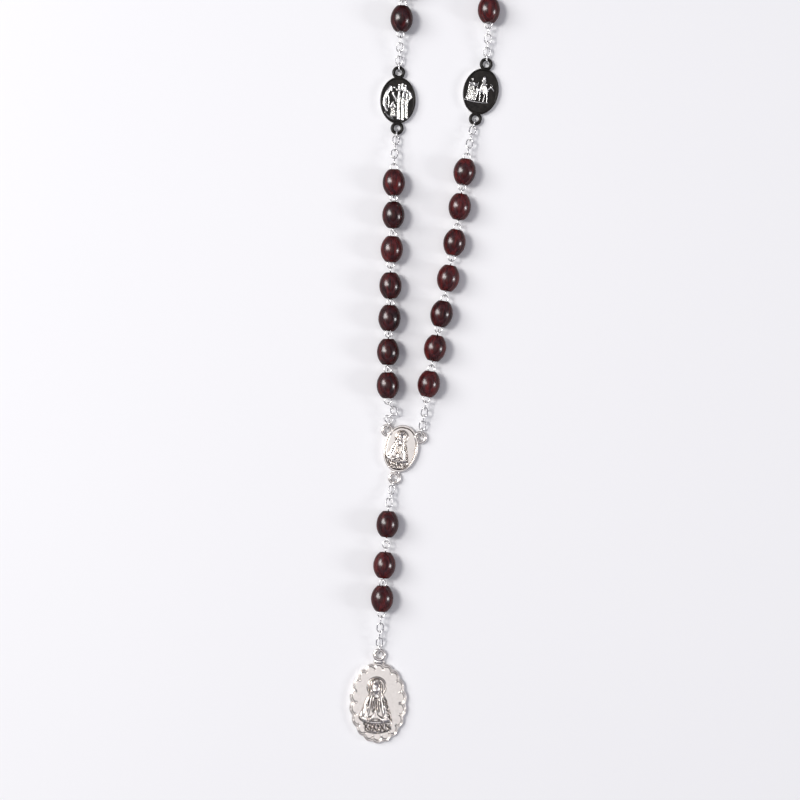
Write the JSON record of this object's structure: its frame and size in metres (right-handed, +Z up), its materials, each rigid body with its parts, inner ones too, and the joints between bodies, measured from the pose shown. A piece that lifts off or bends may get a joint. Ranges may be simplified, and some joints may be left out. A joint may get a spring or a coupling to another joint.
{
  "type": "rosary chaplet",
  "caption": "Prayer chaplet: a loop of barrel beads on interlinked eye pins, with oval medals between the groups, a centre medal and a pendant that ends in a large oval medal.",
  "frame": {"origin": "middle of the outline as laid out, on the plane that the medals lie on", "axes": "+Y from the end medal along the strand to the far end of the loop; +Z up from the plane the medals lie on; +X to the right with the medals upright"},
  "size_m": [0.0676, 0.4663, 0.0068],
  "materials": {
    "bead_wood": "dark mahogany, lacquered",
    "wire_silver": "bright silver-coloured wire",
    "medal_silver": "satin warm-white silver, darkened in the recesses",
    "station_enamel": "near-black field with bright raised figures and rim"
  },
  "bodies": {
    "centre_medal": {"centre_medal": "medal_silver"},
    "left_chain": {"left_chain": "wire_silver"},
    "group1_lower": {"group1_lower_beads": "bead_wood", "group1_lower_pins": "wire_silver"},
    "group1_upper": {"group1_upper_beads": "bead_wood", "group1_upper_pins": "wire_silver"},
    "station1_lower_chain": {"station1_lower_chain": "wire_silver"},
    "station_medal_1": {"station_medal_1": "station_enamel"},
    "station1_upper_chain": {"station1_upper_chain": "wire_silver"},
    "group2_lower": {"group2_lower_beads": "bead_wood", "group2_lower_pins": "wire_silver"},
    "group2_upper": {"group2_upper_beads": "bead_wood", "group2_upper_pins": "wire_silver"},
    "station2_lower_chain": {"station2_lower_chain": "wire_silver"},
    "station_medal_2": {"station_medal_2": "station_enamel"},
    "station2_upper_chain": {"station2_upper_chain": "wire_silver"},
    "group3_lower": {"group3_lower_beads": "bead_wood", "group3_lower_pins": "wire_silver"},
    "group3_upper": {"group3_upper_beads": "bead_wood", "group3_upper_pins": "wire_silver"},
    "station3_lower_chain": {"station3_lower_chain": "wire_silver"},
    "station_medal_3": {"station_medal_3": "station_enamel"},
    "station3_upper_chain": {"station3_upper_chain": "wire_silver"},
    "group4_lower": {"group4_lower_beads": "bead_wood", "group4_lower_pins": "wire_silver"},
    "group4_upper": {"group4_upper_beads": "bead_wood", "group4_upper_pins": "wire_silver"},
    "station4_upper_chain": {"station4_upper_chain": "wire_silver"},
    "right_chain": {"right_chain": "wire_silver"},
    "group7_lower": {"group7_lower_beads": "bead_wood", "group7_lower_pins": "wire_silver"},
    "group7_upper": {"group7_upper_beads": "bead_wood", "group7_upper_pins": "wire_silver"},
    "station6_lower_chain": {"station6_lower_chain": "wire_silver"},
    "station_medal_6": {"station_medal_6": "station_enamel"},
    "station6_upper_chain": {"station6_upper_chain": "wire_silver"},
    "group6_lower": {"group6_lower_beads": "bead_wood", "group6_lower_pins": "wire_silver"},
    "group6_upper": {"group6_upper_beads": "bead_wood", "group6_upper_pins": "wire_silver"},
    "station5_lower_chain": {"station5_lower_chain": "wire_silver"},
    "station_medal_5": {"station_medal_5": "station_enamel"},
    "station5_upper_chain": {"station5_upper_chain": "wire_silver"},
    "group5_lower": {"group5_lower_beads": "bead_wood", "group5_lower_pins": "wire_silver"},
    "group5_upper": {"group5_upper_beads": "bead_wood", "group5_upper_pins": "wire_silver"},
    "station4_lower_chain": {"station4_lower_chain": "wire_silver"},
    "station_medal_4": {"station_medal_4": "station_enamel"},
    "pendant_chain": {"pendant_chain": "wire_silver"},
    "pendant_pin_1": {"pendant_pin_1": "wire_silver"},
    "pendant_ring": {"pendant_ring": "wire_silver"},
    "pendant_pin_2": {"pendant_pin_2": "wire_silver"},
    "pendant_pin_3": {"pendant_pin_3": "wire_silver"},
    "end_chain": {"end_chain": "wire_silver"},
    "end_medal": {"end_medal": "medal_silver"},
    "pendant_bead_1": {"pendant_bead_1": "bead_wood"},
    "pendant_bead_2": {"pendant_bead_2": "bead_wood"},
    "pendant_bead_3": {"pendant_bead_3": "bead_wood"}
  },
  "joints": [
    {"name": "left_chain_swing", "type": "hinge", "parent": "centre_medal", "child": "left_chain", "pos_m": [-0.01991, -0.13746, 0.00103], "axis": [0, 0, 1], "range_deg": [0, 25]},
    {"name": "group1_lower_fold", "type": "hinge", "parent": "left_chain", "child": "group1_lower", "pos_m": [-0.01981, -0.12977, 0.0034], "axis": [1, 0, 0], "range_deg": [-50, 50]},
    {"name": "group1_upper_fold", "type": "hinge", "parent": "group1_lower", "child": "group1_upper", "pos_m": [-0.01904, -0.08843, 0.0034], "axis": [-0.9969, 0.0785, 0], "range_deg": [-60, 60]},
    {"name": "station1_lower_chain_swing", "type": "hinge", "parent": "group1_upper", "child": "station1_lower_chain", "pos_m": [-0.01794, -0.05716, 0.00351], "axis": [0, 0, 1], "range_deg": [0, 25]},
    {"name": "station_medal_1_fold", "type": "hinge", "parent": "station1_lower_chain", "child": "station_medal_1", "pos_m": [-0.01699, -0.04719, 0.0012], "axis": [0.9997, -0.0262, 0], "range_deg": [-50, 50]},
    {"name": "station1_upper_chain_swing", "type": "hinge", "parent": "station_medal_1", "child": "station1_upper_chain", "pos_m": [-0.0165, -0.02841, 0.00103], "axis": [0, 0, 1], "range_deg": [0, 25]},
    {"name": "group2_lower_fold", "type": "hinge", "parent": "station1_upper_chain", "child": "group2_lower", "pos_m": [-0.01598, -0.01842, 0.0034], "axis": [-0.9976, 0.0698, 0], "range_deg": [-50, 50]},
    {"name": "group2_upper_fold", "type": "hinge", "parent": "group2_lower", "child": "group2_upper", "pos_m": [-0.01464, 0.02417, 0.0034], "axis": [0.9987, 0.0502, 0], "range_deg": [-60, 60]},
    {"name": "station2_lower_chain_swing", "type": "hinge", "parent": "group2_upper", "child": "station2_lower_chain", "pos_m": [-0.01701, 0.0562, 0.00351], "axis": [0, 0, 1], "range_deg": [0, 25]},
    {"name": "station_medal_2_fold", "type": "hinge", "parent": "station2_lower_chain", "child": "station_medal_2", "pos_m": [-0.01834, 0.06553, 0.0012], "axis": [-0.9925, -0.1219, 0], "range_deg": [-50, 50]},
    {"name": "station2_upper_chain_swing", "type": "hinge", "parent": "station_medal_2", "child": "station2_upper_chain", "pos_m": [-0.02063, 0.08418, 0.00104], "axis": [0, 0, 1], "range_deg": [0, 25]},
    {"name": "group3_lower_fold", "type": "hinge", "parent": "station2_upper_chain", "child": "group3_lower", "pos_m": [-0.02168, 0.09429, 0.0034], "axis": [0.9925, 0.1219, 0], "range_deg": [-50, 50]},
    {"name": "group3_upper_fold", "type": "hinge", "parent": "group3_lower", "child": "group3_upper", "pos_m": [-0.026, 0.13753, 0.0034], "axis": [-0.9968, -0.0804, 0], "range_deg": [-60, 60]},
    {"name": "station3_lower_chain_swing", "type": "hinge", "parent": "group3_upper", "child": "station3_lower_chain", "pos_m": [-0.02802, 0.16999, 0.00351], "axis": [0, 0, 1], "range_deg": [0, 25]},
    {"name": "station_medal_3_fold", "type": "hinge", "parent": "station3_lower_chain", "child": "station_medal_3", "pos_m": [-0.02839, 0.17942, 0.0012], "axis": [1, 0, 0], "range_deg": [-50, 50]},
    {"name": "station3_upper_chain_swing", "type": "hinge", "parent": "station_medal_3", "child": "station3_upper_chain", "pos_m": [-0.02839, 0.1982, 0.00104], "axis": [0, 0, 1], "range_deg": [0, 25]},
    {"name": "group4_lower_fold", "type": "hinge", "parent": "station3_upper_chain", "child": "group4_lower", "pos_m": [-0.02748, 0.20832, 0.0034], "axis": [-0.9135, 0.4067, 0], "range_deg": [-50, 50]},
    {"name": "group4_upper_fold", "type": "hinge", "parent": "group4_lower", "child": "group4_upper", "pos_m": [0.00516, 0.22981, 0.0034], "axis": [-0.3701, -0.929, 0], "range_deg": [-60, 60]},
    {"name": "station4_upper_chain_swing", "type": "hinge", "parent": "group4_upper", "child": "station4_upper_chain", "pos_m": [0.02724, 0.20869, 0.00351], "axis": [0, 0, 1], "range_deg": [0, 25]},
    {"name": "right_chain_swing", "type": "hinge", "parent": "centre_medal", "child": "right_chain", "pos_m": [-0.00985, -0.1396, 0.00104], "axis": [0, 0, -1], "range_deg": [0, 25]},
    {"name": "group7_lower_fold", "type": "hinge", "parent": "right_chain", "child": "group7_lower", "pos_m": [-0.00832, -0.12929, 0.0034], "axis": [0.9863, -0.165, 0], "range_deg": [-50, 50]},
    {"name": "group7_upper_fold", "type": "hinge", "parent": "group7_lower", "child": "group7_upper", "pos_m": [-0.00056, -0.08631, 0.0034], "axis": [-0.9848, 0.1736, 0], "range_deg": [-60, 60]},
    {"name": "station6_lower_chain_swing", "type": "hinge", "parent": "group7_upper", "child": "station6_lower_chain", "pos_m": [0.00435, -0.05398, 0.00351], "axis": [0, 0, -1], "range_deg": [0, 25]},
    {"name": "station_medal_6_fold", "type": "hinge", "parent": "station6_lower_chain", "child": "station_medal_6", "pos_m": [0.00662, -0.04431, 0.0012], "axis": [0.9816, -0.1908, 0], "range_deg": [-50, 50]},
    {"name": "station6_upper_chain_swing", "type": "hinge", "parent": "station_medal_6", "child": "station6_upper_chain", "pos_m": [0.01021, -0.02588, 0.00104], "axis": [0, 0, -1], "range_deg": [0, 25]},
    {"name": "group6_lower_fold", "type": "hinge", "parent": "station6_upper_chain", "child": "group6_lower", "pos_m": [0.01075, -0.01572, 0.0034], "axis": [-0.9997, 0.0262, 0], "range_deg": [-50, 50]},
    {"name": "group6_upper_fold", "type": "hinge", "parent": "group6_lower", "child": "group6_upper", "pos_m": [0.01318, 0.02562, 0.0034], "axis": [0.9952, -0.098, 0], "range_deg": [-60, 60]},
    {"name": "station5_lower_chain_swing", "type": "hinge", "parent": "group6_upper", "child": "station5_lower_chain", "pos_m": [0.017, 0.0569, 0.00351], "axis": [0, 0, -1], "range_deg": [0, 25]},
    {"name": "station_medal_5_fold", "type": "hinge", "parent": "station5_lower_chain", "child": "station_medal_5", "pos_m": [0.01819, 0.06626, 0.0012], "axis": [-0.9962, 0.0872, 0], "range_deg": [-50, 50]},
    {"name": "station5_upper_chain_swing", "type": "hinge", "parent": "station_medal_5", "child": "station5_upper_chain", "pos_m": [0.01983, 0.08497, 0.00104], "axis": [0, 0, -1], "range_deg": [0, 25]},
    {"name": "group5_lower_fold", "type": "hinge", "parent": "station5_upper_chain", "child": "group5_lower", "pos_m": [0.02088, 0.09508, 0.0034], "axis": [0.9903, -0.1392, 0], "range_deg": [-50, 50]},
    {"name": "group5_upper_fold", "type": "hinge", "parent": "group5_lower", "child": "group5_upper", "pos_m": [0.02604, 0.13618, 0.0034], "axis": [-0.9971, 0.0765, 0], "range_deg": [-60, 60]},
    {"name": "station4_lower_chain_swing", "type": "hinge", "parent": "group5_upper", "child": "station4_lower_chain", "pos_m": [0.02821, 0.16762, 0.00351], "axis": [0, 0, -1], "range_deg": [0, 25]},
    {"name": "station_medal_4_fold", "type": "hinge", "parent": "station4_lower_chain", "child": "station_medal_4", "pos_m": [0.0284, 0.17705, 0.0012], "axis": [1, 0, 0], "range_deg": [-50, 50]},
    {"name": "pendant_chain_fold", "type": "hinge", "parent": "centre_medal", "child": "pendant_chain", "pos_m": [-0.01818, -0.15375, 0.00132], "axis": [-0.9703, 0.2419, 0], "range_deg": [-50, 50]},
    {"name": "pendant_pin_1_swing", "type": "hinge", "parent": "pendant_chain", "child": "pendant_pin_1", "pos_m": [-0.01951, -0.16047, 0.0034], "axis": [0, 0, 1], "range_deg": [-45, 45]},
    {"name": "pendant_ring_fold", "type": "hinge", "parent": "pendant_pin_1", "child": "pendant_ring", "pos_m": [-0.02026, -0.1714, 0.0034], "axis": [0.9962, -0.0872, 0], "range_deg": [-60, 60]},
    {"name": "pendant_pin_2_swing", "type": "hinge", "parent": "pendant_ring", "child": "pendant_pin_2", "pos_m": [-0.0204, -0.17294, 0.0034], "axis": [0, 0, 1], "range_deg": [-45, 45]},
    {"name": "pendant_pin_3_fold", "type": "hinge", "parent": "pendant_pin_2", "child": "pendant_pin_3", "pos_m": [-0.02123, -0.18311, 0.0034], "axis": [-0.9986, 0.0523, 0], "range_deg": [-50, 50]},
    {"name": "end_chain_swing", "type": "hinge", "parent": "pendant_pin_3", "child": "end_chain", "pos_m": [-0.02181, -0.1941, 0.0035], "axis": [0, 0, 1], "range_deg": [-45, 45]},
    {"name": "end_medal_fold", "type": "hinge", "parent": "end_chain", "child": "end_medal", "pos_m": [-0.02239, -0.20467, 0.0012], "axis": [0.9997, -0.0262, 0], "range_deg": [-50, 50]},
    {"name": "pendant_bead_1_spin", "type": "hinge", "parent": "pendant_pin_1", "child": "pendant_bead_1", "pos_m": [-0.01991, -0.16621, 0.0034], "axis": [-0.0698, -0.9976, 0], "continuous": true},
    {"name": "pendant_bead_2_spin", "type": "hinge", "parent": "pendant_pin_2", "child": "pendant_bead_2", "pos_m": [-0.02085, -0.17867, 0.0034], "axis": [-0.0785, -0.9969, 0], "continuous": true},
    {"name": "pendant_bead_3_spin", "type": "hinge", "parent": "pendant_pin_3", "child": "pendant_bead_3", "pos_m": [-0.02153, -0.18885, 0.0034], "axis": [-0.0523, -0.9986, 0], "continuous": true}
  ]
}
